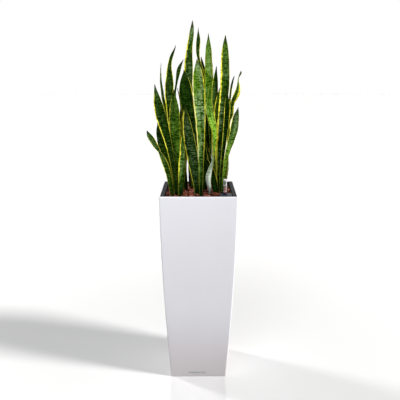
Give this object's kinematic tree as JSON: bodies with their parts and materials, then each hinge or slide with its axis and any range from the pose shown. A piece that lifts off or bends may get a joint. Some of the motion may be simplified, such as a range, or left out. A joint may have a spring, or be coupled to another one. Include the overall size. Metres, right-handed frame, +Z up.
{
  "type": "self watering planter",
  "caption": "Tall tapered square planter with a lift-out self watering liner, lifting handles, filler flap, float gauge and snake plants in bark mulch.",
  "frame": {"origin": "centre of the column's flat foot, on the floor", "axes": "+Z up, -Y towards the face with the badge, +X to the right seen from that face; the filler shaft is at +X, -Y"},
  "size_m": [0.4819, 0.4, 1.916],
  "materials": {
    "shell_plastic": "satin, smooth white",
    "badge_silver": "satin, blank",
    "liner_plastic": "fine grain",
    "handle_plastic": "ribbed, fine grain",
    "separator_plastic": "plain",
    "cover_plastic": "fine grain",
    "pin_steel": "drawn",
    "clear_plastic": "clear, polished",
    "cap_plastic": "translucent red",
    "collar_plastic": "plain",
    "mark_ink": "printed",
    "float_plastic": "plain",
    "seal_rubber": "plain",
    "granulate": "coarse, porous",
    "potting_mix": "crumbly",
    "bark": "rough chips",
    "leaf": "waxy, banded"
  },
  "bodies": {
    "outer_pot": {"outer_shell": "shell_plastic", "front_badge": "badge_silver"},
    "liner": {"liner_tub": "liner_plastic", "separator_plate": "separator_plastic", "wick_cups": "separator_plastic", "filler_shaft": "liner_plastic", "shaft_cover": "cover_plastic", "flap_hinge_pin": "pin_steel", "gauge_tube": "clear_plastic", "gauge_cap": "cap_plastic", "gauge_collar": "collar_plastic", "gauge_marks": "mark_ink", "drainage_granulate": "granulate"},
    "left_handle": {"handle_left": "handle_plastic"},
    "right_handle": {"handle_right": "handle_plastic"},
    "flap": {"filler_flap": "cover_plastic"},
    "float": {"float_cylinder": "float_plastic", "float_rod": "float_plastic"},
    "seal": {"drain_seal": "seal_rubber"},
    "plug": {"drain_plug": "collar_plastic"},
    "planting": {"potting_mix": "potting_mix", "bark_mulch": "bark", "snake_plant_front_left": "leaf", "snake_plant_back_left": "leaf", "snake_plant_centre_front": "leaf", "snake_plant_centre_back": "leaf", "snake_plant_centre_right": "leaf", "snake_plant_front_right": "leaf", "snake_plant_back_right": "leaf"}
  },
  "joints": [
    {"name": "liner_lift", "type": "slide", "parent": "outer_pot", "child": "liner", "axis": [0, 0, 1], "range_m": [0, 0.42]},
    {"name": "left_handle_lift", "type": "slide", "parent": "liner", "child": "left_handle", "axis": [0, 0, 1], "range_m": [0, 0.084]},
    {"name": "right_handle_lift", "type": "slide", "parent": "liner", "child": "right_handle", "axis": [0, 0, 1], "range_m": [0, 0.084]},
    {"name": "flap_hinge", "type": "hinge", "parent": "liner", "child": "flap", "pos_m": [0.1682, -0.142, 1.0494], "axis": [0, 1, 0], "range_deg": [0, 100]},
    {"name": "float_rise", "type": "slide", "parent": "liner", "child": "float", "axis": [0, 0, 1], "range_m": [-0.033, 0.033]},
    {"name": "seal_drop", "type": "slide", "parent": "liner", "child": "seal", "axis": [0, 0, -1], "range_m": [0, 0.014]},
    {"name": "plug_turn", "type": "hinge", "parent": "seal", "child": "plug", "pos_m": [0, 0, 0.657], "axis": [0, 0, -1], "range_deg": [0, 1681]},
    {"name": "planting_lift", "type": "slide", "parent": "liner", "child": "planting", "axis": [0, 0, 1], "range_m": [0, 0.26]}
  ],
  "couplings": [
    {"joint": "plug_turn", "follows": "seal_drop", "rad_per_m": 2094.4}
  ]
}
